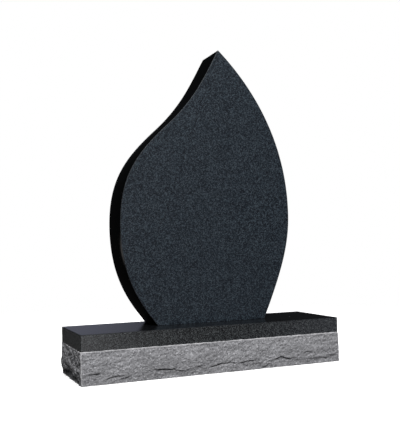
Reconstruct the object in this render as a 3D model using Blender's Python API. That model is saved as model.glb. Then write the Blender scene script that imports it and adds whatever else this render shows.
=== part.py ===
"""Upright granite headstone: a flame-shaped tablet on a long rock-pitched base.

Units are metres and +Z is up. The front looks to -Y and +X is to the right. The origin is the centre of
the base's underside, at ground level.
"""
import bmesh
import bpy
import numpy as np
from mathutils import Vector
from mathutils.geometry import interpolate_bezier

# Base: one block, polished on its top and on a margin round its upper edge, rock-pitched below
BASE_LENGTH = 0.900
BASE_DEPTH = 0.260
BASE_HEIGHT = 0.150
MARGIN_HEIGHT = 0.050
BASE_ARRIS = 0.0015         # chamfer round the polished top
BASE_CORNER = 0.0015        # chamfer down each upright corner
ROCK_HEIGHT = BASE_HEIGHT - MARGIN_HEIGHT

# Rock-pitched faces
ROCK_PROUD = 0.006          # the most that a split face stands out past the margin
ROCK_BACK = 0.002           # the deepest that it lies behind the margin
ROCK_COLUMN = 0.011         # spacing of the mesh along a side
ROCK_ROWS = 11              # rows of the mesh from the ground to the margin
CORNER_REACH = 0.040        # a split corner leans out over this length of each side
CORNER_CALM = 0.070         # and a neatly struck corner calms the relief over this length
SCALLOP_LENGTH = 0.085      # size of the broad flakes, along and up
SCALLOP_HEIGHT = 0.045
SCALLOP_RELIEF = 0.0016
CHIP_LENGTH = 0.036         # size of the smaller flakes
CHIP_HEIGHT = 0.022
CHIP_RELIEF = 0.0008
LEDGE_DROP = 0.0020         # lip over recess where a flake broke off short
LEDGE_LIP = 0.022           # height over which the lip fades upwards
LEDGE_RECESS = 0.010        # height over which the recess fades downwards
NOISE_CELLS = 64            # the random surface repeats after this many cells

# Each side of the base: its random seed, how far it swells out, where that swell starts and is full as
# shares of the way down to the ground, how much of it is lost again at the ground, the shares of its relief
# that its left and right corners keep, and its ledges. A ledge is start, end, height at start, middle and
# end, and depth: the first two are shares of the side's length from its left corner, the heights are shares
# of the rock's height, and the depth is a share of the deepest.
SIDES = {
    "front": (11, 0.0030, (0.00, 0.55), 0.45, (0.25, 0.50), (
        (0.027, 0.062, 0.335, 0.325, 0.345, 1.0), (0.087, 0.134, 0.165, 0.225, 0.22, 0.8),
        (0.137, 0.164, 0.14, 0.165, 0.18, 0.8), (0.256, 0.325, 0.31, 0.29, 0.28, 1.0),
        (0.326, 0.361, 0.24, 0.21, 0.17, 0.8), (0.362, 0.428, 0.20, 0.26, 0.29, 0.3),
        (0.464, 0.507, 0.225, 0.27, 0.31, 1.0), (0.512, 0.560, 0.28, 0.315, 0.27, 0.8),
        (0.571, 0.634, 0.27, 0.31, 0.315, 1.0), (0.672, 0.704, 0.06, 0.11, 0.16, 0.5),
        (0.714, 0.781, 0.275, 0.36, 0.23, 1.0), (0.777, 0.818, 0.27, 0.28, 0.26, 0.4),
        (0.845, 0.882, 0.41, 0.43, 0.38, 0.8), (0.878, 0.945, 0.175, 0.21, 0.16, 0.6),
        (0.952, 0.984, 0.25, 0.25, 0.23, 0.2))),
    "right": (795, 0.0036, (0.00, 0.55), 0.00, (1.00, 1.00), (
        (0.15, 0.42, 0.24, 0.32, 0.27, 1.0), (0.55, 0.86, 0.36, 0.30, 0.22, 1.0))),
    "back": (37, 0.0030, (0.00, 0.55), 0.40, (1.00, 0.50), (
        (0.05, 0.13, 0.20, 0.27, 0.24, 1.0), (0.18, 0.24, 0.34, 0.36, 0.30, 1.0),
        (0.31, 0.42, 0.18, 0.25, 0.22, 1.0), (0.47, 0.52, 0.30, 0.31, 0.28, 1.0),
        (0.58, 0.70, 0.25, 0.34, 0.26, 1.0), (0.77, 0.82, 0.17, 0.18, 0.15, 1.0),
        (0.86, 0.95, 0.28, 0.26, 0.20, 1.0))),
    "left": (646, 0.0045, (0.35, 0.62), 1.50, (1.00, 0.25), (
        (-0.20, 0.46, 0.22, 0.18, 0.27, 1.0), (0.34, 0.60, 0.40, 0.38, 0.34, 1.0),
        (0.46, 0.93, 0.27, 0.19, 0.10, 1.0))),
}

# Tablet: one flat slab with a flame outline
TABLET_WIDTH = 0.620
TABLET_HEIGHT = 0.925
TABLET_THICKNESS = 0.130
TABLET_ARRIS = 0.002        # eased edge round the front and the back face
FOOT_WIDTH = 0.394          # flat sawn foot
FOOT_OFFSET = 0.026         # the foot's centre lies this far right of the base's centre
FOOT_ACROSS = 0.512         # the foot's centre, as a share of the tablet's width from its left
REAR_LEDGE = 0.023          # polished top left bare behind the tablet
SETTING_JOINT = 0.0003      # gap between the foot and the base
OUTLINE_STEP = 0.016        # length of one straight facet of the outline

# The outline's free stations, clockwise from the left of the foot. Places are shares of the tablet's
# width and height, the heading is in degrees from +X, and a pull is the length of a Bezier handle
# before and after the station, as a share of the height.
FOOT_LEFT_LEAVES = (126.4, 0.079)
LEFT_BELLY = (0.0, 0.352, 90.0, 0.200, 0.177)
WAIST = (0.275, 0.716, 42.5, 0.158, 0.1555)
APEX_ACROSS = 0.575
APEX_ARRIVES = (60.0, 0.088)
APEX_LEAVES = (-41.6, 0.166)
RIGHT_BELLY = (1.0, 0.3875, -90.0, 0.301, 0.123)
FOOT_RIGHT_ARRIVES = (-114.2, 0.171)

# Finishes: colour, roughness
HONED_BLACK = ("honed_black_granite", (0.032, 0.042, 0.054), 0.42)
POLISHED_BLACK = ("polished_black_granite", (0.030, 0.034, 0.036), 0.12)
SPLIT_GREY = ("split_grey_granite", (0.215, 0.212, 0.225), 0.90)


def finish(name, colour, roughness):
    """Principled stone material."""
    material = bpy.data.materials.new(name)
    material.use_nodes = True
    shader = material.node_tree.nodes["Principled BSDF"]
    shader.inputs["Base Color"].default_value = (*colour, 1.0)
    shader.inputs["Roughness"].default_value = roughness
    shader.inputs["Metallic"].default_value = 0.0
    return material


def place(name, mesh, materials):
    """Puts a mesh in the scene as one named piece."""
    for material in materials:
        mesh.materials.append(material)
    piece = bpy.data.objects.new(name, mesh)
    bpy.context.scene.collection.objects.link(piece)
    return piece


def ease(low, high, value):
    """Smooth step from 0 at low to 1 at high."""
    share = np.clip((value - low) / (high - low), 0.0, 1.0)
    return share * share * (3.0 - 2.0 * share)


def noise(x, y, seed):
    """Smooth random surface from -1 to 1, with bumps about one unit wide."""
    heights = np.random.default_rng(seed).uniform(-1.0, 1.0, (NOISE_CELLS, NOISE_CELLS))
    column, row = np.floor(x).astype(int), np.floor(y).astype(int)
    across, upward = ease(0.0, 1.0, x - column), ease(0.0, 1.0, y - row)
    column, row = column % NOISE_CELLS, row % NOISE_CELLS
    next_column, next_row = (column + 1) % NOISE_CELLS, (row + 1) % NOISE_CELLS
    low = heights[column, row] * (1.0 - across) + heights[next_column, row] * across
    high = heights[column, next_row] * (1.0 - across) + heights[next_column, next_row] * across
    return low * (1.0 - upward) + high * upward


def ledge(along, up, start, end, heights, depth):
    """A broken ledge: a lip that stands proud above its line, and a recess under it."""
    middle = 0.5 * (start + end)
    line = np.interp(along, (start, middle, end), heights)
    tip = 0.25 * (end - start)
    present = ease(start - tip, start + tip, along) * (1.0 - ease(end - tip, end + tip, along))
    above = up - line
    lip = np.exp(-np.clip(above, 0.0, None) / LEDGE_LIP)
    recess = -np.exp(np.clip(above, None, 0.0) / LEDGE_RECESS)
    return depth * LEDGE_DROP * present * np.where(above >= 0.0, lip, recess)


def relief(along, up, length, side):
    """How far a split face stands out past the margin's plane, at a distance along it and a height."""
    seed, swell, rise, tuck, kept, ledges = SIDES[side]
    depth = 1.0 - up / ROCK_HEIGHT
    out = swell * ease(*rise, depth) * (1.0 - tuck * ease(0.55, 1.0, depth))
    out = out + SCALLOP_RELIEF * noise(along / SCALLOP_LENGTH, up / SCALLOP_HEIGHT, seed)
    out = out + CHIP_RELIEF * noise(along / CHIP_LENGTH, up / CHIP_HEIGHT, seed + 1)
    for start, end, *heights, share in ledges:
        out = out + ledge(along, up, start * length, end * length, np.array(heights) * ROCK_HEIGHT, share)
    out = out * ease(0.0, 0.12, depth)
    out = out * (kept[0] + (1.0 - kept[0]) * ease(0.0, CORNER_CALM, along))
    out = out * (kept[1] + (1.0 - kept[1]) * ease(0.0, CORNER_CALM, length - along))
    return np.clip(out * ROCK_PROUD / out.max(), -ROCK_BACK, ROCK_PROUD)


def side_frames():
    """Left corner, direction along, outward direction and length of each side, seen from outside."""
    half_length, half_depth = BASE_LENGTH / 2, BASE_DEPTH / 2
    return {
        "front": (np.array((-half_length, -half_depth)), np.array((1, 0)), np.array((0, -1)), BASE_LENGTH),
        "right": (np.array((half_length, -half_depth)), np.array((0, 1)), np.array((1, 0)), BASE_DEPTH),
        "back": (np.array((half_length, half_depth)), np.array((-1, 0)), np.array((0, 1)), BASE_LENGTH),
        "left": (np.array((-half_length, half_depth)), np.array((0, -1)), np.array((-1, 0)), BASE_DEPTH),
    }


def rock_rings():
    """The split zone as rings of points from the ground to the margin, and how many points each side has."""
    up = np.linspace(0.0, ROCK_HEIGHT, ROCK_ROWS + 1)
    frames = side_frames()
    names = list(frames)
    along, reliefs = {}, {}
    for name, (_, _, _, length) in frames.items():
        count = round(length / ROCK_COLUMN) + 1
        along[name] = np.linspace(BASE_CORNER, length - BASE_CORNER, count)
        reliefs[name] = relief(along[name][None, :], up[:, None], length, name)
    sides = []
    for index, name in enumerate(names):
        corner, direction, outward, length = frames[name]
        before = reliefs[names[index - 1]][:, -1:]
        after = reliefs[names[(index + 1) % len(names)]][:, :1]
        near_start = 1.0 - ease(0.0, CORNER_REACH, along[name] - BASE_CORNER)
        near_end = 1.0 - ease(0.0, CORNER_REACH, length - BASE_CORNER - along[name])
        run = along[name] - before * near_start + after * near_end
        flat = corner + run[..., None] * direction + reliefs[name][..., None] * outward
        height = np.broadcast_to(up[:, None, None], (*flat.shape[:2], 1))
        sides.append(np.concatenate((flat, height), axis=2))
    return np.concatenate(sides, axis=1), [len(along[name]) for name in names]


def corner_ring(chamfer, inset, height):
    """Eight points of a rectangle with chamfered corners, in the order of the rock's rings."""
    points = []
    for corner, direction, outward, length in side_frames().values():
        for run in (chamfer, length - chamfer):
            points.append((*(corner + run * direction - inset * outward), height))
    return np.array(points)


def make_base(split, polished):
    """The base: split sides in a grid of quads, with flat margins, chamfers, top and underside."""
    rings, counts = rock_rings()
    rows, columns = rings.shape[:2]
    edge = corner_ring(BASE_CORNER, 0.0, BASE_HEIGHT - BASE_ARRIS)
    top = corner_ring(BASE_CORNER, BASE_ARRIS, BASE_HEIGHT)
    points = np.concatenate((rings.reshape(-1, 3), edge, top))
    edge_start, top_start = rows * columns, rows * columns + len(edge)

    faces = [list(range(columns))[::-1]]
    for row in range(rows - 1):
        for column in range(columns):
            after = (column + 1) % columns
            below, above = row * columns, (row + 1) * columns
            faces.append([below + column, below + after, above + after, above + column])
    split_faces = len(faces)

    line = (rows - 1) * columns
    starts = np.concatenate(([0], np.cumsum(counts)))
    corners = len(edge)
    for side, count in enumerate(counts):
        first, last = 2 * side, 2 * side + 1
        following = (last + 1) % corners
        run = [line + starts[side] + step for step in range(count)]
        faces.append(run + [edge_start + last, edge_start + first])
        faces.append([run[-1], line + starts[side + 1] % columns, edge_start + following, edge_start + last])
    for corner in range(corners):
        after = (corner + 1) % corners
        faces.append([edge_start + corner, edge_start + after, top_start + after, top_start + corner])
    faces.append([top_start + corner for corner in range(corners)])

    mesh = bpy.data.meshes.new("base")
    mesh.from_pydata(points.tolist(), [], [[int(vertex) for vertex in face] for face in faces])
    mesh.polygons.foreach_set("material_index", [0] * split_faces + [1] * (len(faces) - split_faces))
    mesh.validate()
    return place("base", mesh, (split, polished))


def flame_outline():
    """The tablet's outline in the plane of its face, clockwise from the left of its foot."""
    left = FOOT_OFFSET - FOOT_ACROSS * TABLET_WIDTH

    def spot(across, upward):
        return Vector((left + across * TABLET_WIDTH, upward * TABLET_HEIGHT))

    def pull(heading, share):
        angle = np.radians(heading)
        return share * TABLET_HEIGHT * Vector((np.cos(angle), np.sin(angle)))

    foot_left = Vector((FOOT_OFFSET - FOOT_WIDTH / 2, 0.0))
    foot_right = Vector((FOOT_OFFSET + FOOT_WIDTH / 2, 0.0))
    belly, waist, shoulder = spot(*LEFT_BELLY[:2]), spot(*WAIST[:2]), spot(*RIGHT_BELLY[:2])
    apex = spot(APEX_ACROSS, 1.0)
    stretches = (
        (foot_left, pull(*FOOT_LEFT_LEAVES), pull(LEFT_BELLY[2], LEFT_BELLY[3]), belly),
        (belly, pull(LEFT_BELLY[2], LEFT_BELLY[4]), pull(WAIST[2], WAIST[3]), waist),
        (waist, pull(WAIST[2], WAIST[4]), pull(*APEX_ARRIVES), apex),
        (apex, pull(*APEX_LEAVES), pull(RIGHT_BELLY[2], RIGHT_BELLY[3]), shoulder),
        (shoulder, pull(RIGHT_BELLY[2], RIGHT_BELLY[4]), pull(*FOOT_RIGHT_ARRIVES), foot_right),
    )
    outline = []
    for start, leaving, arriving, end in stretches:
        count = round((end - start).length / OUTLINE_STEP) + 1
        outline += interpolate_bezier(start, start + leaving, end - arriving, end, count)[:-1]
    return outline + [foot_right]


def make_tablet(material):
    """The tablet: the outline raised to a slab, with eased edges round both faces."""
    back = BASE_DEPTH / 2 - REAR_LEDGE
    front = back - TABLET_THICKNESS
    foot = BASE_HEIGHT + SETTING_JOINT
    solid = bmesh.new()
    face = solid.faces.new([solid.verts.new((point.x, front, foot + point.y)) for point in flame_outline()])
    raised = bmesh.ops.extrude_face_region(solid, geom=[face], use_keep_orig=True)
    moved = [item for item in raised["geom"] if isinstance(item, bmesh.types.BMVert)]
    bmesh.ops.translate(solid, vec=(0.0, TABLET_THICKNESS, 0.0), verts=moved)
    bmesh.ops.recalc_face_normals(solid, faces=solid.faces)
    rims = [edge for edge in solid.edges
            if abs(edge.verts[0].co.y - edge.verts[1].co.y) < TABLET_ARRIS
            and max(vertex.co.z for vertex in edge.verts) > foot + TABLET_ARRIS]
    bmesh.ops.bevel(solid, geom=rims, offset=TABLET_ARRIS, segments=1, profile=0.5, affect="EDGES")
    mesh = bpy.data.meshes.new("tablet")
    solid.to_mesh(mesh)
    solid.free()
    return place("tablet", mesh, (material,))


def main():
    """Builds both stones."""
    for thing in list(bpy.data.objects):
        bpy.data.objects.remove(thing, do_unlink=True)
    make_base(finish(*SPLIT_GREY), finish(*POLISHED_BLACK))
    make_tablet(finish(*HONED_BLACK))


main()
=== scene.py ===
"""Looks of an upright granite headstone: a flame-shaped tablet on a rock-pitched base.

Both stones are one dark, fine-grained granite. What tells their surfaces apart is how each was worked:
honed on the tablet's faces, polished on its edge and on the base's top and margin, and split on the
base's sides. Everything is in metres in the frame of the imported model: +Z up, the front towards -Y.
"""
import logging
import math
from dataclasses import dataclass, field
from enum import Enum

import bpy
import numpy as np
from bpy.types import Material, Mesh, Node, NodeSocket, NodeTree, Object
from mathutils import Matrix, Vector


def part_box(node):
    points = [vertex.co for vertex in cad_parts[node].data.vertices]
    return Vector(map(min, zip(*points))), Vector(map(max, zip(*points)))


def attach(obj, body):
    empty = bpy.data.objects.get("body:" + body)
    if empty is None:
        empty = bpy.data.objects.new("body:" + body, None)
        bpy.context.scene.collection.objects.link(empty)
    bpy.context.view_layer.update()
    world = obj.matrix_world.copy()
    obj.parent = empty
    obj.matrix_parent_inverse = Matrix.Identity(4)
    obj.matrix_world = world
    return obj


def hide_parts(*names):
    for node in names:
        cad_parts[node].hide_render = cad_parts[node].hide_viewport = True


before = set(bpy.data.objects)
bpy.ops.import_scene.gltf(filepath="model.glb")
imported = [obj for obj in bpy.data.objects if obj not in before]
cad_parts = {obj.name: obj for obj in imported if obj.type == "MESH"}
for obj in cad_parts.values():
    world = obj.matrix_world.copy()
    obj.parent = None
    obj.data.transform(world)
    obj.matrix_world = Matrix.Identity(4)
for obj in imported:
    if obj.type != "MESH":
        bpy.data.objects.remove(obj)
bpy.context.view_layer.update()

MM = 0.001
# A Mix node has several sockets of one name, so its colours go by number
COLOUR_A, COLOUR_B, MIXED = 6, 7, 2
log = logging.getLogger("headstone")


def linear(colour: str) -> tuple[float, float, float, float]:
    """Turns an sRGB hex colour to linear light.

    Args:
        colour: six hex digits after a hash sign.

    Returns:
        Red, green and blue in linear light, and an alpha of 1.
    """
    shares = (int(colour[place:place + 2], 16) / 255 for place in (1, 3, 5))
    return (*(s / 12.92 if s <= 0.04045 else ((s + 0.055) / 1.055) ** 2.4 for s in shares), 1.0)


def add(tree: NodeTree, kind: str, inputs: dict | None = None, **settings: object) -> Node:
    """Adds a node with its settings, values and links.

    Args:
        tree: the node tree that takes the node.
        kind: the node's type without its first word, ShaderNode.
        inputs: for a socket's name or number, its value or the output socket that feeds it.
        **settings: the node's own properties.

    Returns:
        The new node.
    """
    node = tree.nodes.new(f"ShaderNode{kind}")
    for key, value in settings.items():
        setattr(node, key, value)
    for key, value in (inputs or {}).items():
        if isinstance(value, NodeSocket):
            tree.links.new(value, node.inputs[key])
        else:
            node.inputs[key].default_value = value
    return node


def ramp(tree: NodeTree, factor: NodeSocket, stops: list[tuple[float, str]]) -> NodeSocket:
    """Adds a colour ramp.

    Args:
        tree: the node tree that takes the node.
        factor: the socket that drives the ramp.
        stops: each stop's position and sRGB hex colour, in order.

    Returns:
        The ramp's colour socket.
    """
    node = add(tree, "ValToRGB", {"Fac": factor})
    elements = node.color_ramp.elements
    while len(elements) < len(stops):
        elements.new(1.0)
    for element, (position, colour) in zip(elements, stops):
        element.position = position
        element.color = linear(colour)
    return node.outputs["Color"]


def ease(low: float, high: float, value: np.ndarray) -> np.ndarray:
    """Smooth step from 0 at low to 1 at high: 3 t^2 - 2 t^3 of the clamped share t.

    Args:
        low: where the step starts.
        high: where it ends.
        value: the values to judge.

    Returns:
        The step's height at each value.
    """
    share = np.clip((value - low) / (high - low), 0.0, 1.0)
    return share * share * (3.0 - 2.0 * share)


def noise(x: np.ndarray, y: np.ndarray, seed: int, cells: int = 64) -> np.ndarray:
    """Smooth random surface over the plane, with bumps about one unit wide.

    A seeded height stands at each whole number of x and y, and between them the heights are blended by
    the smooth step of the fractions.

    Args:
        x: first coordinate.
        y: second coordinate.
        seed: picks the heights.
        cells: how many heights there are before they repeat.

    Returns:
        Heights from -1 to 1.
    """
    heights = np.random.default_rng(seed).uniform(-1.0, 1.0, (cells, cells))
    column, row = np.floor(x).astype(int), np.floor(y).astype(int)
    across, upward = ease(0.0, 1.0, x - column), ease(0.0, 1.0, y - row)
    column, row = column % cells, row % cells
    next_column, next_row = (column + 1) % cells, (row + 1) % cells
    low = heights[column, row] * (1.0 - across) + heights[next_column, row] * across
    high = heights[column, next_row] * (1.0 - across) + heights[next_column, next_row] * across
    return low * (1.0 - upward) + high * upward


def quads(number: np.ndarray, closed: bool) -> list[list[int]]:
    """Joins a grid's vertices into four-sided faces.

    Args:
        number: the vertex numbers, row by row.
        closed: whether the last vertex of a row joins its first.

    Returns:
        The vertex numbers of each face.
    """
    after = np.roll(number, -1, axis=1)
    if not closed:
        number, after = number[:, :-1], after[:, :-1]
    return np.stack((number[:-1], after[:-1], after[1:], number[1:]), axis=-1).reshape(-1, 4).tolist()


def make_piece(name: str, points: np.ndarray, faces: list[list[int]], zones: list[int],
               smooth: list[bool], materials: list[Material]) -> Object:
    """Makes one closed piece at the origin from points and faces that point outwards.

    Args:
        name: the piece's name.
        points: its vertices, one row each.
        faces: the vertex numbers of each face.
        zones: the material number of each face.
        smooth: whether each face is shaded smooth.
        materials: the piece's materials.

    Returns:
        The linked object.
    """
    mesh = bpy.data.meshes.new(name)
    mesh.from_pydata(points.tolist(), [], faces)
    for material in materials:
        mesh.materials.append(material)
    mesh.polygons.foreach_set("material_index", zones)
    mesh.polygons.foreach_set("use_smooth", smooth)
    mesh.update()
    piece = bpy.data.objects.new(name, mesh)
    bpy.context.scene.collection.objects.link(piece)
    return piece


class Worked(Enum):
    """How a cut surface was worked after the saw, which sets its gloss."""

    HONED = "honed"
    POLISHED = "polished"


@dataclass(frozen=True)
class Granite:
    """A surface of dark, fine-grained granite: interlocked crystals in soft lighter and darker patches.

    Attributes:
        name: the material's name.
        dark: colour of the darkest crystals.
        ground: colour of most crystals.
        pale: colour of the palest crystals.
        grain_mm: size of one drawn crystal.
        mottle_mm: size of the soft patches.
        mottle: how far those patches go either way, as a share.
        specular: strength of the reflection at normal incidence, as Blender's specular level.
        roughness: blur of the reflection.
    """

    name: str
    dark: str
    ground: str
    pale: str
    grain_mm: float = 3.6
    mottle_mm: float = 9.0
    mottle: float = 0.16
    specular: float = 0.5
    roughness: float = 0.1

    def start(self) -> tuple[Material, Node, NodeSocket]:
        """Starts the material.

        Returns:
            The material, its shader node and the socket of its Object coordinates.
        """
        made = bpy.data.materials.new(self.name)
        made.use_nodes = True
        shader = made.node_tree.nodes["Principled BSDF"]
        shader.inputs["IOR"].default_value = 1.5
        shader.inputs["Specular IOR Level"].default_value = self.specular
        return made, shader, add(made.node_tree, "TexCoord").outputs["Object"]

    def crystals(self, tree: NodeTree, place: NodeSocket, stops: list[tuple[float, str]],
                 octaves: tuple[float, float], span: tuple[float, float]) -> tuple[NodeSocket, ...]:
        """Adds the crystals and the patches.

        Args:
            tree: the material's node tree.
            place: the socket of its Object coordinates.
            stops: the crystals' colours, as stops of a ramp.
            octaves: detail and roughness of the patches' noise.
            span: values of that noise in the darkest and in the lightest patches.

        Returns:
            The sockets of the colour, of a random number for each crystal, and of the patches' noise.
        """
        # Real crystals are 1 to 2 mm, and are drawn coarser so that they still show a few paces away
        crystal = add(tree, "TexVoronoi", {"Vector": place, "Scale": 1.0 / (self.grain_mm * MM)})
        pick = add(tree, "SeparateColor", {"Color": crystal.outputs["Color"]})
        speckle = ramp(tree, pick.outputs["Red"], stops)
        patch = add(tree, "TexNoise", {
            "Vector": place, "Scale": 1.0 / (self.mottle_mm * MM), "Detail": octaves[0],
            "Roughness": octaves[1]})
        gain = add(tree, "MapRange", {
            "Value": patch.outputs["Fac"], "From Min": span[0], "From Max": span[1],
            "To Min": 1.0 - self.mottle, "To Max": 1.0 + self.mottle}, clamp=True)
        colour = add(tree, "VectorMath", {0: speckle, "Scale": gain.outputs["Result"]}, operation="SCALE")
        return colour.outputs["Vector"], pick.outputs["Green"], patch.outputs["Fac"]


@dataclass(frozen=True)
class CutGranite(Granite):
    """A sawn and ground surface, on which the crystals show as a fine salt-and-pepper speckle.

    Honing leaves them greyish and dull, and polishing closes the surface, so that it looks nearly black
    and mirrors the light.

    Attributes:
        worked: honed or polished.
        uneven: how far a honed surface's roughness goes either way from crystal to crystal.
    """

    worked: Worked = Worked.POLISHED
    uneven: float = 0.06

    def material(self) -> Material:
        """Builds the node material.

        Returns:
            The material.
        """
        made, shader, place = self.start()
        tree = made.node_tree
        colour, random, patch = self.crystals(tree, place, [
            (0.0, self.dark), (0.35, self.dark), (0.60, self.ground), (1.0, self.pale)],
            octaves=(3.0, 0.6), span=(0.25, 0.75))
        tree.links.new(colour, shader.inputs["Base Color"])
        if self.worked is Worked.POLISHED:
            shader.inputs["Roughness"].default_value = self.roughness
        else:
            # Honing wears soft crystals a little more than hard ones, so the dull sheen is uneven
            sheen = add(tree, "MapRange", {
                "Value": random, "To Min": self.roughness - self.uneven,
                "To Max": self.roughness + self.uneven})
            tree.links.new(sheen.outputs["Result"], shader.inputs["Roughness"])
            bump = add(tree, "Bump", {"Height": patch, "Strength": 0.25, "Distance": 0.25 * MM})
            tree.links.new(bump.outputs["Normal"], shader.inputs["Normal"])
        return made


@dataclass(frozen=True)
class SplitGranite(Granite):
    """A rock-pitched surface: the same granite broken with a chisel and left as it split.

    Every crystal is cracked, so the surface scatters light and looks pale grey where the ground stone
    looks black. It is palest along struck edges, where the crystals are bruised, and painted darkest in
    the cracks under a ledge, as shade for the shadow that the lip casts. It reads two attributes of the
    mesh, bruise and painted_shade, each from 0 to 1.

    Attributes:
        bruised: colour of struck edges.
        crack_shade: colour of the painted shade in a crack under a ledge.
        grit_mm: size of the finest bumps.
    """

    bruised: str = "#cac9cc"
    crack_shade: str = "#121214"
    grit_mm: float = 2.4

    def material(self) -> Material:
        """Builds the node material.

        Returns:
            The material.
        """
        made, shader, place = self.start()
        tree = made.node_tree
        stone, _, _ = self.crystals(tree, place, [
            (0.0, self.dark), (0.22, self.ground), (0.75, self.ground), (1.0, self.pale)],
            octaves=(2.0, 0.5), span=(0.3, 0.7))
        struck = add(tree, "Attribute", attribute_name="bruise").outputs["Fac"]
        paler = add(tree, "Mix", {
            "Factor": struck, COLOUR_A: stone, COLOUR_B: linear(self.bruised)}, data_type="RGBA")
        # Painted shade: the crack under each ledge is darkened towards the crack_shade colour, for the shadow
        # of the lip
        deep = add(tree, "Attribute", attribute_name="painted_shade").outputs["Fac"]
        darker = add(tree, "Mix", {
            "Factor": deep, COLOUR_A: paler.outputs[MIXED], COLOUR_B: linear(self.crack_shade)}, data_type="RGBA")
        tree.links.new(darker.outputs[MIXED], shader.inputs["Base Color"])
        grit = add(tree, "TexNoise", {
            "Vector": place, "Scale": 1.0 / (self.grit_mm * MM), "Detail": 4.0, "Roughness": 0.65})
        bump = add(tree, "Bump", {"Height": grit.outputs["Fac"], "Strength": 1.0, "Distance": 1.6 * MM})
        tree.links.new(bump.outputs["Normal"], shader.inputs["Normal"])
        shader.inputs["Roughness"].default_value = self.roughness
        return made


@dataclass(frozen=True)
class Station:
    """A free station of the tablet's outline.

    Attributes:
        across: its place across the tablet, as a share of the width from the left.
        up: its height, as a share of the tablet's height.
        heading: the outline's direction there, in degrees from +X.
        before: length of the Bezier handle before it, as a share of the height.
        after: length of the handle after it.
    """

    across: float
    up: float
    heading: float
    before: float
    after: float


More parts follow.
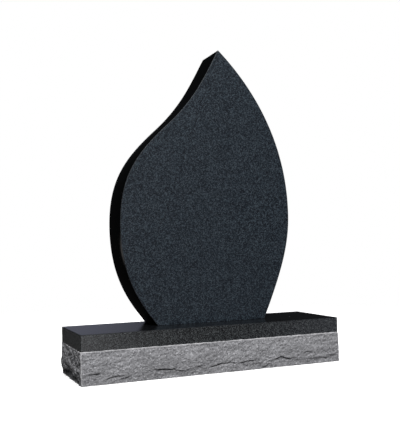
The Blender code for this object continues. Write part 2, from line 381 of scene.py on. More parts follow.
@dataclass
class Tablet:
    """The upright slab: a flame outline of one thickness, honed faces and a polished edge.

    Attributes:
        low: lowest corner of the CAD tablet.
        high: highest corner of the CAD tablet.
        foot_width: length of the flat sawn foot.
        foot_across: the foot's centre, as a share of the width from the left.
        apex_across: the apex, as a share of the width from the left.
        foot_leaves: heading in degrees and handle share where the outline leaves the foot's left end.
        left_belly: the widest point on the left.
        waist: where the S-curve changes its bend.
        apex_arrives: heading and handle share of the outline on its way up to the apex.
        apex_leaves: heading and handle share on its way down.
        right_belly: the widest point on the right.
        foot_arrives: heading and handle share where the outline reaches the foot's right end.
        arris: radius of the eased edge round both faces.
        tip: radius of the eased apex.
        steps: points along each of the five stretches of the outline.
        turns: facets across one eased edge.
    """

    low: Vector
    high: Vector
    foot_width: float = 0.394
    foot_across: float = 0.512
    apex_across: float = 0.575
    foot_leaves: tuple[float, float] = (126.4, 0.079)
    left_belly: Station = Station(0.0, 0.352, 90.0, 0.200, 0.177)
    waist: Station = Station(0.275, 0.716, 42.5, 0.158, 0.1555)
    apex_arrives: tuple[float, float] = (60.0, 0.088)
    apex_leaves: tuple[float, float] = (-41.6, 0.166)
    right_belly: Station = Station(1.0, 0.3875, -90.0, 0.301, 0.123)
    foot_arrives: tuple[float, float] = (-114.2, 0.171)
    arris: float = 0.0020
    tip: float = 0.0012
    steps: int = 90
    turns: int = 5

    def spot(self, across: float, up: float) -> np.ndarray:
        """Returns the x and z of a place given as shares of the tablet's width and height."""
        size = self.high - self.low
        return np.array((self.low.x + across * size.x, self.low.z + up * size.z))

    def pull(self, heading: float, share: float) -> np.ndarray:
        """Returns a Bezier handle of a heading in degrees and a length as a share of the height."""
        angle = math.radians(heading)
        return share * (self.high.z - self.low.z) * np.array((math.cos(angle), math.sin(angle)))

    def outline(self) -> np.ndarray:
        """Works out the outline from the left of the foot over the apex to its right.

        Each stretch is a cubic Bezier: (1-t)^3 a + 3 (1-t)^2 t b + 3 (1-t) t^2 c + t^3 d. The apex is
        then eased by an arc that touches the last chord before it and the first one after it.

        Returns:
            One row of x and z for each point.
        """
        belly, waist, shoulder = self.left_belly, self.waist, self.right_belly
        half_foot = np.array((self.foot_width / 2, 0.0))
        foot = self.spot(self.foot_across, 0.0)
        places = [foot - half_foot, self.spot(belly.across, belly.up), self.spot(waist.across, waist.up),
                  self.spot(self.apex_across, 1.0), self.spot(shoulder.across, shoulder.up), foot + half_foot]
        leaving = [self.foot_leaves, (belly.heading, belly.after), (waist.heading, waist.after),
                   self.apex_leaves, (shoulder.heading, shoulder.after)]
        arriving = [(belly.heading, belly.before), (waist.heading, waist.before), self.apex_arrives,
                    (shoulder.heading, shoulder.before), self.foot_arrives]
        t = np.linspace(0.0, 1.0, self.steps)[:, None]
        stretches = []
        for start, end, out, back in zip(places, places[1:], leaving, arriving):
            first, second = start + self.pull(*out), end - self.pull(*back)
            stretches.append((1 - t) ** 3 * start + 3 * (1 - t) ** 2 * t * first
                             + 3 * (1 - t) * t ** 2 * second + t ** 3 * end)
        left = np.concatenate([stretch[:-1] for stretch in stretches[:3]])
        right = np.concatenate([stretches[3][1:-1], stretches[4]])
        return np.concatenate(self.eased(left, places[3], right))

    def eased(self, left: np.ndarray, corner: np.ndarray, right: np.ndarray) -> tuple[np.ndarray, ...]:
        """Rounds the corner between two stretches of the outline.

        Args:
            left: points up to the corner.
            corner: the corner itself.
            right: points from the corner on.

        Returns:
            The points kept before it, the points of the arc, and the points kept after it.
        """
        toward = (corner - left[-1]) / np.linalg.norm(corner - left[-1])
        away = (right[0] - corner) / np.linalg.norm(right[0] - corner)
        turn = math.acos(float(np.clip(toward @ away, -1.0, 1.0)))
        reach = self.tip * math.tan(turn / 2)
        kept_left = left[np.linalg.norm(left - corner, axis=1) > 1.5 * reach]
        kept_right = right[np.linalg.norm(right - corner, axis=1) > 1.5 * reach]
        centre = corner - reach * toward + self.tip * np.array((toward[1], -toward[0]))
        spoke = corner - reach * toward - centre
        angles = -np.linspace(0.0, turn, 2 * self.turns + 1)
        arc = centre + np.stack((spoke[0] * np.cos(angles) - spoke[1] * np.sin(angles),
                                 spoke[0] * np.sin(angles) + spoke[1] * np.cos(angles)), axis=1)
        return kept_left, arc, kept_right

    def outward(self, path: np.ndarray) -> np.ndarray:
        """Works out which way the edge faces along the outline.

        The direction is the tangent of the central difference turned a quarter left. At the two ends of
        the foot it is laid flat and lengthened, so that an inset stays in the foot's plane.

        Args:
            path: the outline's points.

        Returns:
            One row of x and z for each point.
        """
        tangent = np.gradient(path, axis=0)
        tangent /= np.linalg.norm(tangent, axis=1)[:, None]
        facing = np.stack((-tangent[:, 1], tangent[:, 0]), axis=1)
        for end in (0, -1):
            facing[end] = (1.0 / facing[end, 0], 0.0)
        return facing

    def build(self, face: Material, edge: Material, arris: Material) -> Object:
        """Carries the edge's profile along the outline and closes it with both faces and the foot.

        The profile runs from the front face round a quarter circle, straight back through the
        thickness, and round a second quarter circle: inset r (1 - cos a), depth r (1 - sin a).

        Args:
            face: finish of the front and the back.
            edge: finish of the edge and the foot.
            arris: finish of the eased edges round both faces: paler rubbed stone, with a painted highlight in
                its colour.

        Returns:
            The tablet as one closed piece.
        """
        path = self.outline()
        facing = self.outward(path)
        angle = np.linspace(math.pi / 2, 0.0, self.turns + 1)
        inset = self.arris * (1.0 - np.cos(angle))
        depth = self.arris * (1.0 - np.sin(angle))
        inset = np.concatenate((inset, inset[::-1]))
        along_y = np.concatenate((self.low.y + depth, self.high.y - depth[::-1]))
        flat = path[:, None, :] - inset[None, :, None] * facing[:, None, :]
        deep = np.broadcast_to(along_y[None, :, None], (*flat.shape[:2], 1))
        grid = np.concatenate((flat[..., :1], deep, flat[..., 1:]), axis=2)
        count, across = grid.shape[:2]
        number = np.arange(count * across).reshape(count, across)
        band = quads(number, closed=False)
        front, back = number[::-1, 0].tolist(), number[:, -1].tolist()
        foot = number[-1].tolist() + number[0, ::-1].tolist()
        faces = band + [front, back, foot]
        eased = np.arange(across - 1) != self.turns
        zones = np.tile(np.where(eased, 2, 1), count - 1).tolist() + [0, 0, 1]
        smooth = [True] * len(band) + [False] * 3
        piece = make_piece("tablet_stone", grid.reshape(-1, 3), faces, zones, smooth, [face, edge, arris])
        self.crisp(piece.data)
        return piece

    def crisp(self, mesh: Mesh) -> None:
        """Marks the borders of the flat faces as sharp, so that smooth shading stops there.

        Args:
            mesh: the tablet's mesh, whose last three faces are the flat ones.
        """
        sharp = np.zeros(len(mesh.edges), dtype=bool)
        keys = {key: place for place, key in enumerate(mesh.edge_keys)}
        for polygon in list(mesh.polygons)[-3:]:
            sharp[[keys[key] for key in polygon.edge_keys]] = True
        mesh.attributes.new("sharp_edge", "BOOLEAN", "EDGE").data.foreach_set("value", sharp)


class Side(Enum):
    """The base's upright sides, in the order in which its rings run."""

    FRONT = "front"
    RIGHT = "right"
    BACK = "back"
    LEFT = "left"


@dataclass(frozen=True)
class Ledge:
    """A place where a flake broke off short: a lip over a recess.

    Attributes:
        start: where it starts, as a share of the side's length from its left corner.
        end: where it ends.
        heights: its height at its start, middle and end, as shares of the split zone's height.
        shade: how dark the painted shade in the crack under its lip is, from 0 to 1.
        shade_band_mm: half the height of that band of painted shade.
        depth: its lip over its recess, as a share of the deepest.
    """

    start: float
    end: float
    heights: tuple[float, float, float]
    shade: float = 0.7
    shade_band_mm: float = 1.6
    depth: float = 1.0


@dataclass(frozen=True)
class Grain:
    """One layer of the fine relief that a split surface has.

    Attributes:
        length: how long its bumps are.
        height: how high they are.
        relief: how far they stand out, at the side's left and its right end.
    """

    length: float
    height: float
    relief: tuple[float, float]


@dataclass(frozen=True)
class Waver:
    """A value that wavers smoothly along a side.

    Attributes:
        mean: its mean.
        spread: how far it goes either way.
        length: the length over which it changes.
    """

    mean: float
    spread: float
    length: float

    def at(self, along: np.ndarray, seed: int) -> np.ndarray:
        """Returns the value at distances along the side: mean + spread * noise(along / length)."""
        return self.mean + self.spread * noise(along / self.length, along * 0.0, seed)


@dataclass(frozen=True)
class SplitSide:
    """What is particular to one split side.

    Attributes:
        seed: picks its random flakes.
        swell: how far it swells out below the margin.
        rise: where that swell starts and is full, as shares of the way down to the ground.
        tuck: share of that swell that is lost again at the ground.
        kept: the shares of its relief that its left and right corners keep.
        slant: rise of its fine ridges for each unit along.
        grains: its layers of split grain.
        spacing: distance between mesh columns.
        ledges: its ledges.
    """

    seed: int
    swell: float
    rise: tuple[float, float]
    tuck: float
    kept: tuple[float, float]
    slant: float
    grains: tuple[Grain, ...]
    spacing: float
    ledges: tuple[Ledge, ...]


# The fourth and fifth numbers of a ledge set the painted shade in its crack: its darkness and half its height
FRONT_LEDGES = (
    Ledge(0.027, 0.062, (0.335, 0.325, 0.345), 1.0, 3.6),
    Ledge(0.087, 0.134, (0.165, 0.225, 0.22), 0.60, 1.4, 0.8),
    Ledge(0.137, 0.164, (0.14, 0.165, 0.18), 0.80, 1.8, 0.8),
    Ledge(0.256, 0.325, (0.31, 0.29, 0.28), 1.0, 2.4),
    Ledge(0.326, 0.361, (0.24, 0.21, 0.17), 0.65, 1.6, 0.8),
    Ledge(0.362, 0.428, (0.20, 0.26, 0.29), 0.28, 4.0, 0.3),
    Ledge(0.464, 0.507, (0.225, 0.27, 0.31), 0.95, 2.3),
    Ledge(0.512, 0.560, (0.28, 0.315, 0.27), 0.55, 1.6, 0.8),
    Ledge(0.571, 0.634, (0.27, 0.31, 0.315), 0.9, 2.0),
    Ledge(0.672, 0.704, (0.06, 0.11, 0.16), 0.30, 1.5, 0.5),
    Ledge(0.714, 0.781, (0.275, 0.36, 0.23), 1.0, 2.4),
    Ledge(0.777, 0.818, (0.27, 0.28, 0.26), 0.30, 3.2, 0.4),
    Ledge(0.845, 0.882, (0.41, 0.43, 0.38), 0.35, 1.6, 0.8),
    Ledge(0.878, 0.945, (0.175, 0.21, 0.16), 0.60, 1.7, 0.6),
    Ledge(0.952, 0.984, (0.25, 0.25, 0.23), 0.45, 5.0, 0.2))
RIGHT_LEDGES = (Ledge(0.15, 0.42, (0.24, 0.32, 0.27)), Ledge(0.55, 0.86, (0.36, 0.30, 0.22)))
BACK_LEDGES = (
    Ledge(0.05, 0.13, (0.20, 0.27, 0.24)), Ledge(0.18, 0.24, (0.34, 0.36, 0.30)),
    Ledge(0.31, 0.42, (0.18, 0.25, 0.22)), Ledge(0.47, 0.52, (0.30, 0.31, 0.28)),
    Ledge(0.58, 0.70, (0.25, 0.34, 0.26)), Ledge(0.77, 0.82, (0.17, 0.18, 0.15)),
    Ledge(0.86, 0.95, (0.28, 0.26, 0.20)))
# The first left ledge's wide, full band of painted shade darkens the lower back of the left end, where the
# undercut lies in shadow
LEFT_LEDGES = (
    Ledge(-0.20, 0.46, (0.22, 0.18, 0.27), 1.0, 9.0), Ledge(0.34, 0.60, (0.40, 0.38, 0.34), 0.5, 3.0),
    Ledge(0.46, 0.93, (0.27, 0.19, 0.10), 1.0, 5.0))
FRONT_GRAINS = (
    Grain(0.055, 0.0100, (0.00040, 0.00085)), Grain(0.018, 0.0080, (0.00036, 0.00070)),
    Grain(0.0080, 0.0054, (0.0008, 0.0008)), Grain(0.0042, 0.0034, (0.0007, 0.0007)))
LEFT_GRAINS = (
    Grain(0.045, 0.0160, (0.0010, 0.0008)), Grain(0.016, 0.0090, (0.0026, 0.0020)),
    Grain(0.0100, 0.0040, (0.0016, 0.0013)), Grain(0.0044, 0.0036, (0.0009, 0.0009)))
OTHER_GRAINS = (
    Grain(0.055, 0.0100, (0.0013, 0.0013)), Grain(0.018, 0.0080, (0.0012, 0.0012)),
    Grain(0.0080, 0.0054, (0.0010, 0.0010)), Grain(0.0044, 0.0036, (0.0006, 0.0006)))
SPLIT_SIDES = {
    Side.FRONT: SplitSide(
        seed=11, swell=0.0030, rise=(0.0, 0.55), tuck=0.45, kept=(0.25, 0.5), slant=0.11,
        grains=FRONT_GRAINS, spacing=1.5 * MM, ledges=FRONT_LEDGES),
    Side.RIGHT: SplitSide(
        seed=795, swell=0.0036, rise=(0.0, 0.55), tuck=0.0, kept=(1.0, 1.0), slant=0.05,
        grains=OTHER_GRAINS, spacing=1.7 * MM, ledges=RIGHT_LEDGES),
    Side.BACK: SplitSide(
        seed=37, swell=0.0030, rise=(0.0, 0.55), tuck=0.40, kept=(1.0, 0.5), slant=-0.08,
        grains=OTHER_GRAINS, spacing=2.2 * MM, ledges=BACK_LEDGES),
    Side.LEFT: SplitSide(
        seed=646, swell=0.0045, rise=(0.35, 0.62), tuck=1.50, kept=(1.0, 0.25), slant=-0.10,
        grains=LEFT_GRAINS, spacing=1.5 * MM, ledges=LEFT_LEDGES),
}


@dataclass
class PitchedBase:
    """The long block under the tablet: polished top and margin, split sides below.

    Attributes:
        low: lowest corner of the CAD base.
        high: highest corner of the CAD base.
        margin: height of the polished margin.
        arris: radius of the eased edge round the top.
        corner: chamfer down each upright corner.
        proud: the most that a split face stands out past the margin.
        back: the deepest that it lies behind the margin.
        corner_reach: a split corner leans out over this length of each side.
        corner_calm: a neatly struck corner calms the relief over this length.
        scallop: length, height and relief of the broad flakes.
        chip: length, height and relief of the smaller flakes.
        drop: lip over recess at a ledge.
        lip: height over which the lip fades upwards.
        recess: height over which the recess fades downwards.
        line: how a ledge's line strays from its three heights.
        shade_band: height of the painted shade under a ledge, as a share of what the ledge says.
        shade: how dark that painted shade is, as a share of the same.
        turn_in: share of the way down where a tucked side starts to turn in.
        step: how far the split face starts proud of the margin, where the chisel struck.
        step_fades: shares of the way down between which that step fades.
        onsets: shares of the way down over which the flakes, the whole relief and the painted crack shade set
            in.
        corner_grain: share of the grain that a corner keeps, and the length over which the rest sets in.
        knee: relief above this is pressed softly below the proudest place.
        spare: room kept between the relief and the proudest place.
        ragged: how the lower edge of the margin strays.
        straight: that edge runs straight over this length from a corner.
        struck: how bright the bruised line under the margin is.
        margin_bruise: height over which it fades.
        corner_bruise: brightness of the bruised line down a corner, and the length over which it fades.
        rows: rows of the mesh from the ground to the margin.
        sides: what is particular to each side.
    """

    low: Vector
    high: Vector
    margin: float = 0.050
    arris: float = 0.0015
    corner: float = 0.0015
    proud: float = 0.006
    back: float = 0.002
    corner_reach: float = 0.040
    corner_calm: float = 0.070
    scallop: tuple[float, float, float] = (0.085, 0.045, 0.0016)
    chip: tuple[float, float, float] = (0.036, 0.022, 0.0008)
    drop: float = 0.0020
    lip: float = 0.022
    recess: float = 0.010
    line: Waver = Waver(0.0, 1.3 * MM, 0.014)
    shade_band: Waver = Waver(0.85, 0.35, 0.009)
    shade: Waver = Waver(0.85, 0.30, 0.006)
    turn_in: float = 0.55
    step: float = 0.0009
    step_fades: tuple[float, float] = (0.3, 1.0)
    onsets: tuple[float, float, float] = (0.12, 0.03, 0.05)
    corner_grain: tuple[float, float] = (0.35, 0.012)
    knee: float = 0.0036
    spare: float = 0.2 * MM
    ragged: Waver = Waver(0.0, 0.0006, 0.008)
    straight: float = 0.010
    struck: Waver = Waver(0.8, 0.2, 0.012)
    margin_bruise: float = 1.9 * MM
    corner_bruise: tuple[float, float] = (0.5, 0.9 * MM)
    rows: int = 70
    sides: dict[Side, SplitSide] = field(default_factory=lambda: dict(SPLIT_SIDES))

    @property
    def rock_height(self) -> float:
        """Height of the split zone."""
        return self.high.z - self.margin

    def frames(self) -> dict[Side, tuple[np.ndarray, np.ndarray, np.ndarray, float]]:
        """Works out the planes of the margin.

        Returns:
            Each side's left corner, direction along, outward direction and length.
        """
        length = self.high.x - self.low.x - 2 * self.proud
        depth = self.high.y - self.low.y - 2 * self.proud
        half = np.array((length, depth)) / 2
        return {
            Side.FRONT: (half * (-1, -1), np.array((1, 0)), np.array((0, -1)), length),
            Side.RIGHT: (half * (1, -1), np.array((0, 1)), np.array((1, 0)), depth),
            Side.BACK: (half * (1, 1), np.array((-1, 0)), np.array((0, 1)), length),
            Side.LEFT: (half * (-1, 1), np.array((0, -1)), np.array((-1, 0)), depth),
        }

    def ledge(self, along: np.ndarray, up: np.ndarray, length: float, one: Ledge,
              seed: int) -> tuple[np.ndarray, np.ndarray]:
        """Works out one ledge.

        Above its straying line the lip decays upwards as exp(-h / lip), below it the recess decays
        downwards as exp(-h / recess), and both ends taper by a smooth step. The shade that the lip casts is
        painted as a dark band just under the line, shade * exp(-(h / shade_band + 0.7)^2), whose height and
        darkness waver along it.

        Args:
            along: distance along the side.
            up: height above the ground.
            length: the side's length.
            one: the ledge.
            seed: picks how its line, and the height and darkness of its painted shade, waver.

        Returns:
            The relief that it adds, and how much painted shade each place gets in the crack.
        """
        start, end = one.start * length, one.end * length
        line = np.interp(along, (start, (start + end) / 2, end), np.array(one.heights) * self.rock_height)
        line = line + self.line.at(along, seed)
        tip = (end - start) / 4
        present = ease(start - tip, start + tip, along) * (1.0 - ease(end - tip, end + tip, along))
        above = up - line
        lip = np.exp(-np.clip(above, 0.0, None) / self.lip)
        recess = -np.exp(np.clip(above, None, 0.0) / self.recess)
        # Painted shade: a dark band just under the line, for the shadow that the lip casts into the crack
        shade_band = one.shade_band_mm * MM * self.shade_band.at(along, seed + 1)
        shade = one.shade * self.shade.at(along, seed + 2)
        crack_shade = np.clip(shade, 0.0, 1.0) * present * np.exp(-((above + 0.7 * shade_band) / shade_band) ** 2)
        return one.depth * self.drop * present * np.where(above >= 0.0, lip, recess), crack_shade

    def relief(self, side: Side, along: np.ndarray, up: np.ndarray,
               length: float) -> tuple[np.ndarray, np.ndarray]:
        """Works out how far one split side stands out past the margin's plane.

        The sum of a smooth swell, broad and small flakes and ledges, scaled so that its highest place
        is the proudest. Finer and finer grain is added in slanting ridges. What then passes the proudest
        place of the CAD solid is pressed softly below it, and what passes the deepest is cut off.

        Args:
            side: which side.
            along: distance along it.
            up: height above the ground.
            length: its length.

        Returns:
            The relief and the painted crack shade of each place.
        """
        one = self.sides[side]
        depth = 1.0 - up / self.rock_height
        out = one.swell * ease(*one.rise, depth) * (1.0 - one.tuck * ease(self.turn_in, 1.0, depth))
        for number, (wide, high, tall) in enumerate((self.scallop, self.chip)):
            out = out + tall * noise(along / wide, up / high, one.seed + number)
        crack_shades = np.zeros_like(out)
        for number, ledge in enumerate(one.ledges):
            added, crack_shade = self.ledge(along, up, length, ledge, one.seed + 50 + number)
            out, crack_shades = out + added, np.maximum(crack_shades, crack_shade)
        flake_onset, relief_onset, shade_onset = self.onsets
        calm = 1.0
        for kept, distance in zip(one.kept, (along, length - along)):
            calm = calm * (kept + (1.0 - kept) * ease(0.0, self.corner_calm, distance))
        out = out * ease(0.0, flake_onset, depth) * calm
        out = out * self.proud / out.max()
        kept, reach = self.corner_grain
        calm = kept + (1.0 - kept) * ease(0.0, reach, np.minimum(along, length - along))
        risen = up - one.slant * along
        for number, grain in enumerate(one.grains):
            bumps = noise(along / grain.length, risen / grain.height, one.seed + 10 + number)
            out = out + calm * np.interp(along, (0.0, length), grain.relief) * bumps
        out = out + self.step * (1.0 - ease(*self.step_fades, depth))
        over, room = np.clip(out - self.knee, 0.0, None), self.proud - self.spare - self.knee
        out = np.minimum(out, self.knee) + room * (1.0 - np.exp(-over / room))
        out = np.maximum(out, -self.back) * ease(0.0, relief_onset, depth)
        return out, crack_shades * ease(0.0, shade_onset, depth)

    def build(self, split: Material, margin: Material, top: Material, arris: Material) -> Object:
        """Builds the block: split sides as one closed grid, then margins, eased edge, top and underside.

        Along a side the grid is a function of distance and height: the side's plane moved outwards by
        the relief, and near a corner also along by the neighbour's relief there, so that they meet.

        Args:
            split: finish of the split sides and the underside.
            margin: finish of the margin.
            top: finish of the top.
            arris: finish of the eased edge round the top: paler rubbed stone, with a faint painted highlight
                in its colour.

        Returns:
            The base as one closed piece.
        """
        rings, bruise, painted_shade, counts = self.split_rings()
        rows, columns = rings.shape[:2]
        number = np.arange(rows * columns).reshape(rows, columns)
        rock = quads(number, closed=True)

        angle = np.linspace(0.0, math.pi / 2, 4)
        edges = np.stack([self.corner_ring(self.arris * (1.0 - math.cos(a)),
                                           self.high.z - self.arris * (1.0 - math.sin(a))) for a in angle])
        levels, corners = edges.shape[:2]
        edge = rows * columns + np.arange(levels * corners).reshape(levels, corners)
        eased = quads(edge, closed=True)

        margins = []
        starts = np.concatenate(([0], np.cumsum(counts)))
        for place, (start, stop) in enumerate(zip(starts, starts[1:])):
            run = number[-1, start:stop].tolist()
            following = int(number[-1, stop % columns])
            first, last, then = (int(edge[0, (2 * place + extra) % corners]) for extra in (0, 1, 2))
            margins += [run + [last, first], [run[-1], following, then, last]]

        faces = [number[0, ::-1].tolist()] + rock + margins + eased + [edge[-1].tolist()]
        zones = [0] * (1 + len(rock)) + [1] * len(margins) + [3] * len(eased) + [2]
        smooth = [False] + [True] * len(rock) + [False] * (len(margins) + len(eased) + 1)
        points = np.concatenate((rings.reshape(-1, 3), edges.reshape(-1, 3)))
        piece = make_piece("base_stone", points, faces, zones, smooth, [split, margin, top, arris])
        # bruise is the paler colour of bruised stone; painted_shade is the painted shade of the cracks under
        # the ledges
        for name, values in (("bruise", bruise), ("painted_shade", painted_shade)):
            padded = np.zeros(len(points))
            padded[:values.size] = values.ravel()
            piece.data.attributes.new(name, "FLOAT", "POINT").data.foreach_set("value", padded)
        return piece

    def split_rings(self) -> tuple[np.ndarray, np.ndarray, np.ndarray, list[int]]:
        """Works out the split zone.

        Returns:
            Its points as rings from the ground to the margin, how bruised each point is, how much painted
            shade it gets in a crack, and the number of points on each side.
        """
        share = np.linspace(0.0, 1.0, self.rows + 1)[:, None]
        frames = self.frames()
        order = list(Side)
        along, nearest, ups, reliefs, crack_shades = {}, {}, {}, {}, {}
        for side, (_, _, _, length) in frames.items():
            count = round(length / self.sides[side].spacing) + 1
            along[side] = np.linspace(self.corner, length - self.corner, count)
            nearest[side] = np.minimum(along[side] - self.corner, length - self.corner - along[side])
            stray = self.ragged.at(along[side], self.sides[side].seed + 5)
            ups[side] = share * (self.rock_height + stray * ease(0.0, self.straight, nearest[side]))
            reliefs[side], crack_shades[side] = self.relief(side, along[side][None, :], ups[side], length)
            reliefs[side][-1] = 0.0
        rings, bruises = [], []
        for place, side in enumerate(order):
            corner, direction, outward, length = frames[side]
            before = reliefs[order[place - 1]][:, -1:]
            beyond = reliefs[order[(place + 1) % len(order)]][:, :1]
            from_start, from_end = along[side] - self.corner, length - self.corner - along[side]
            lean = beyond * (1.0 - ease(0.0, self.corner_reach, from_end))
            lean = lean - before * (1.0 - ease(0.0, self.corner_reach, from_start))
            flat = corner + (along[side] + lean)[..., None] * direction + reliefs[side][..., None] * outward
            rings.append(np.concatenate((flat, ups[side][..., None]), axis=2))
            below = self.rock_height - ups[side]
            struck = self.struck.at(along[side], self.sides[side].seed + 6)
            struck = struck * np.exp(-(below / self.margin_bruise) ** 2)
            bright, reach = self.corner_bruise
            bruises.append(np.maximum(struck, bright * np.exp(-(nearest[side] / reach) ** 2)))
        counts = [len(along[side]) for side in order]
        return (np.concatenate(rings, axis=1), np.concatenate(bruises, axis=1),
                np.concatenate([crack_shades[side] for side in order], axis=1), counts)

    def corner_ring(self, inset: float, height: float) -> np.ndarray:
        """Works out a rectangle with chamfered corners, in the order of the split rings.

        Args:
            inset: how far it lies inside the margin's planes.
            height: its height.

        Returns:
            Two points for each side.
        """
        points = []
        for corner, direction, outward, length in self.frames().values():
            for run in (self.corner, length - self.corner):
                points.append((*(corner + run * direction - inset * outward), height))
        return np.array(points)


@dataclass(frozen=True)
class Softbox:
    """A plain rectangular studio light.

    Attributes:
        name: its name.
        place: where it stands.
        target: what it points at.
        size: its width and height.
        power: its power in watts.
        mirrored: whether polished stone mirrors it.
    """

    name: str
    place: tuple[float, float, float]
    target: tuple[float, float, float]
    size: tuple[float, float]
    power: float
    mirrored: bool = True

    def build(self) -> None:
        """Puts the light in the scene."""
        lamp = bpy.data.lights.new(self.name, "AREA")
        lamp.shape = "RECTANGLE"
        lamp.size, lamp.size_y = self.size
        lamp.energy = self.power
        made = bpy.data.objects.new(self.name, lamp)
        made.location = self.place
        made.rotation_euler = (Vector(self.target) - Vector(self.place)).to_track_quat("-Z", "Y").to_euler()
        made.visible_camera = False
        made.visible_glossy = self.mirrored
        bpy.context.scene.collection.objects.link(made)


@dataclass(frozen=True)
class Glow:
    """A soft bright patch of the room, as ground stone mirrors it.

    Attributes:
        azimuth: its direction in degrees from +Y towards +X.
        elevation: its height in degrees above the horizon.
        size: where it has faded out, as distances along x, y and z on a sphere of radius 1.
        colour: its colour.
        strength: its brightness in the middle.
    """

    azimuth: float
    elevation: float
    size: tuple[float, float, float]
    colour: str
    strength: float

    def light(self, tree: NodeTree, direction: NodeSocket) -> NodeSocket:
        """Adds the nodes that give the glow's light.

        Args:
            tree: the surround's node tree.
            direction: the socket of the direction looked in.

        Returns:
            The socket of the light that comes from there.
        """
        azimuth, elevation = math.radians(self.azimuth), math.radians(self.elevation)
        centre = (math.sin(azimuth) * math.cos(elevation), math.cos(azimuth) * math.cos(elevation),
                  math.sin(elevation))
        away = add(tree, "VectorMath", {0: direction, 1: centre}, operation="SUBTRACT")
        spread = add(tree, "VectorMath", {0: away.outputs["Vector"], 1: self.size}, operation="DIVIDE")
        near = add(tree, "VectorMath", {0: spread.outputs["Vector"]}, operation="LENGTH")
        share = add(tree, "MapRange", {
            "Value": near.outputs["Value"], "From Min": 1.0, "From Max": 0.0, "To Max": self.strength},
            interpolation_type="SMOOTHSTEP")
        tint = {0: linear(self.colour)[:3], "Scale": share.outputs["Result"]}
        return add(tree, "VectorMath", tint, operation="SCALE").outputs["Vector"]


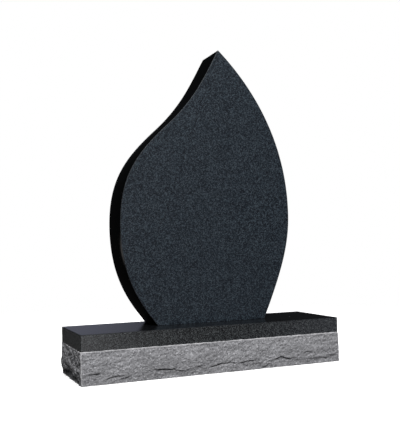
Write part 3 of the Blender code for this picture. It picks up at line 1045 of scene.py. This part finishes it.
@dataclass
class Studio:
    """A pale floor that fades into a pale surround, and soft light.

    Attributes:
        floor_colour: colour of the floor.
        surround: what the camera sees beyond the floor.
        fill: strength of the even light from all round.
        mirrored: how bright the plain parts of the room look in ground stone.
        glows: the brighter parts of the room.
        glow: light that the floor gives off by itself, so that it stays nearly white.
        fade: the radii between which the floor fades out.
        boxes: the softboxes.
    """

    floor_colour: str = "#e6e6e6"
    surround: float = 1.0
    fill: float = 0.10
    mirrored: float = 0.007
    glows: tuple[Glow, ...] = (
        # Mirrored in the left end of the base's top, and in the margin of its left side
        Glow(12.0, 7.0, (0.26, 1.0, 0.16), "#dfe4ff", 0.34),
        Glow(-36.0, -8.0, (0.22, 1.0, 0.20), "#ffffff", 3.0),
        # Mirrored in the front margin, at its left and at its right end
        Glow(172.0, -11.0, (0.19, 1.0, 0.30), "#fffdff", 3.6),
        Glow(143.0, -9.0, (0.13, 1.0, 0.20), "#e9ecff", 1.3),
        # Gives the tablet's honed face its sheen, stronger at the left
        Glow(182.0, 12.0, (0.30, 1.0, 0.40), "#dcebff", 2.4),
        # Mirrored in the tablet's edge when it is seen from the left or the right
        Glow(-90.0, 14.0, (1.0, 0.55, 0.40), "#eef2ff", 0.35),
        Glow(88.0, 14.0, (1.0, 0.55, 0.40), "#eef2ff", 0.35),
    )
    glow: float = 0.22
    fade: tuple[float, float] = (0.9, 2.4)
    boxes: tuple[Softbox, ...] = (
        Softbox("key_softbox", (-1.35, -4.3, 5.2), (0.0, 0.0, 0.4), (1.9, 1.6), 625.0),
        Softbox("top_softbox", (1.2, 0.1, 5.0), (0.0, 0.0, 0.0), (5.0, 2.0), 200.0, mirrored=False),
        Softbox("back_softbox", (2.8, 5.2, 3.6), (0.0, 0.0, 0.5), (3.0, 2.4), 620.0, mirrored=False),
    )

    def build(self) -> None:
        """Builds the surround, the floor and the lights."""
        self.build_surround()
        self.build_floor()
        for box in self.boxes:
            box.build()
        bpy.context.scene.view_settings.view_transform = "Standard"

    def build_surround(self) -> None:
        """Makes the surround pale to the camera, soft to matt stone, and a dim room to ground stone."""
        world = bpy.data.worlds.new("studio_surround")
        world.use_nodes = True
        tree = world.node_tree
        tree.nodes.clear()
        ray = add(tree, "LightPath")
        direction = add(tree, "TexCoord").outputs["Generated"]
        room = add(tree, "CombineXYZ", {axis: self.mirrored for axis in "XYZ"}).outputs["Vector"]
        for glow in self.glows:
            room = add(tree, "VectorMath", {0: room, 1: glow.light(tree, direction)},
                       operation="ADD").outputs["Vector"]
        grey, white = (self.fill,) * 3 + (1.0,), (self.surround,) * 3 + (1.0,)
        lit = add(tree, "Mix", {
            "Factor": ray.outputs["Is Glossy Ray"], COLOUR_A: grey, COLOUR_B: room}, data_type="RGBA")
        seen = add(tree, "Mix", {
            "Factor": ray.outputs["Is Camera Ray"], COLOUR_A: lit.outputs[MIXED], COLOUR_B: white},
            data_type="RGBA")
        shine = add(tree, "Background", {"Color": seen.outputs[MIXED]})
        add(tree, "OutputWorld", {"Surface": shine.outputs["Background"]})
        bpy.context.scene.world = world

    def build_floor(self) -> None:
        """Lays the floor: a disc just under the stones, matt and fading out with distance."""
        turn = np.linspace(0.0, 2 * math.pi, 97)[:-1]
        radius = self.fade[1] * 1.05
        height = np.full(len(turn), -0.3 * MM)
        points = np.stack((radius * np.cos(turn), radius * np.sin(turn), height), axis=1)
        made = bpy.data.materials.new("matt_white_floor")
        made.use_nodes = True
        tree = made.node_tree
        shader = tree.nodes["Principled BSDF"]
        shader.inputs["Base Color"].default_value = linear(self.floor_colour)
        shader.inputs["Roughness"].default_value = 1.0
        shader.inputs["Specular IOR Level"].default_value = 0.0
        shader.inputs["Emission Color"].default_value = (1.0, 1.0, 1.0, 1.0)
        shader.inputs["Emission Strength"].default_value = self.glow
        place = add(tree, "TexCoord").outputs["Object"]
        distance = add(tree, "VectorMath", {0: place}, operation="LENGTH")
        gone = add(tree, "MapRange", {
            "Value": distance.outputs["Value"], "From Min": self.fade[0], "From Max": self.fade[1]},
            interpolation_type="SMOOTHSTEP")
        clear = add(tree, "BsdfTransparent")
        mixed = add(tree, "MixShader", {
            0: gone.outputs["Result"], 1: shader.outputs["BSDF"], 2: clear.outputs["BSDF"]})
        tree.links.new(mixed.outputs["Shader"], tree.nodes["Material Output"].inputs["Surface"])
        floor = make_piece("studio_floor", points, [list(range(len(points)))], [0], [False], [made])
        floor.visible_glossy = False
        floor.visible_diffuse = False


@dataclass(frozen=True)
class PhotoCamera:
    """The camera at the photograph's angle.

    Attributes:
        place: where it stands.
        heading: how far its view turns right of +Y, in degrees.
        pitch: how far it looks up, in degrees.
        roll: how far it leans, in degrees.
        focal_px: focal length in pixels of the 400 x 447 frame.
        long_side_px: the frame's long side.
        sensor_mm: sensor width, which spans the long side.
    """

    place: tuple[float, float, float] = (-0.9123, -2.0780, 0.3990)
    heading: float = 23.59
    pitch: float = 2.08
    roll: float = -1.10
    focal_px: float = 670.1
    long_side_px: float = 447.0
    sensor_mm: float = 36.0

    def build(self) -> Object:
        """Puts the camera in the scene.

        Returns:
            The camera.
        """
        heading, pitch, roll = (math.radians(a) for a in (self.heading, self.pitch, self.roll))
        forward = Vector((math.sin(heading) * math.cos(pitch), math.cos(heading) * math.cos(pitch),
                          math.sin(pitch)))
        level = Vector((math.cos(heading), -math.sin(heading), 0.0))
        upright = level.cross(forward)
        right = math.cos(roll) * level + math.sin(roll) * upright
        up = math.cos(roll) * upright - math.sin(roll) * level
        lens = bpy.data.cameras.new("photo_camera")
        lens.sensor_width = self.sensor_mm
        lens.lens = self.focal_px * self.sensor_mm / self.long_side_px
        made = bpy.data.objects.new("photo_camera", lens)
        turned = Matrix((right, up, -forward)).transposed().to_4x4()
        made.matrix_world = Matrix.Translation(self.place) @ turned
        bpy.context.scene.collection.objects.link(made)
        bpy.context.scene.camera = made
        return made


# Honed black granite: ground with fine grit and not polished, so it is charcoal grey with a dull sheen
HONED_FACE = CutGranite("honed_black_granite", "#02060f", "#1e272e", "#394148", worked=Worked.HONED,
                        grain_mm=2.5, specular=0.25, roughness=0.5)
# Polished black granite: a closed, wet-looking surface that is nearly black away from a reflection
POLISHED_EDGE = CutGranite("polished_black_granite", "#020303", "#040506", "#07090b",
                           mottle=0.05, specular=0.35, roughness=0.07)
# Eased arris of the tablet: rubbed down by hand with a stone, and drawn paler still as a painted highlight of
# the light it catches, so it stays a thin pale line round the face
TABLET_ARRIS = CutGranite("rubbed_highlit_tablet_arris", "#1a1d20", "#282c30", "#363a3e", worked=Worked.HONED,
                          mottle=0.15, specular=0.15, roughness=0.5)
# Eased arris of the base's top: rubbed finer, and only a shade paler than the polish on either side of it,
# partly as a painted highlight of the light it catches
BASE_ARRIS = CutGranite("rubbed_highlit_base_arris", "#0c0e10", "#181b1e", "#26292c", worked=Worked.HONED,
                        mottle=0.15, specular=0.3, roughness=0.4)
# Polished top of the base: as the edge, and it mirrors the tablet and the room at a low angle
POLISHED_TOP = CutGranite("polished_base_top", "#08090a", "#0b0c0e", "#101114",
                          mottle=0.08, specular=0.5, roughness=0.22)
# Polished margin of the base: dark and a little hazy, with more of its pale crystals showing than the edge
POLISHED_MARGIN = CutGranite("polished_margin_granite", "#090a0b", "#25282a", "#494c4d",
                             grain_mm=1.9, mottle_mm=14.0, mottle=0.22, specular=0.5, roughness=0.25)
# Rock-pitched granite: cracked crystals scatter the light, so the same stone looks pale grey
SPLIT_FACE = SplitGranite("rock_pitched_granite", "#5c5c5f", "#838386", "#a7a7ab", grain_mm=3.4,
                          mottle_mm=70.0, mottle=0.10, specular=0.25, roughness=0.92)


def main() -> None:
    """Builds the camera, the studio and both stones, and reports each piece."""
    logging.basicConfig(level=logging.INFO, format="%(name)s: %(message)s")
    camera = PhotoCamera().build()
    log.info("camera %s with a %.1f mm lens", camera.name, camera.data.lens)
    Studio().build()

    tablet = Tablet(*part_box("tablet")).build(
        HONED_FACE.material(), POLISHED_EDGE.material(), TABLET_ARRIS.material())
    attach(tablet, "root")
    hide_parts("tablet")

    base = PitchedBase(*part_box("base")).build(
        SPLIT_FACE.material(), POLISHED_MARGIN.material(), POLISHED_TOP.material(), BASE_ARRIS.material())
    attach(base, "root")
    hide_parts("base")

    for piece in (tablet, base):
        log.info("piece %s with %d faces", piece.name, len(piece.data.polygons))


if __name__ == "__main__":
    main()
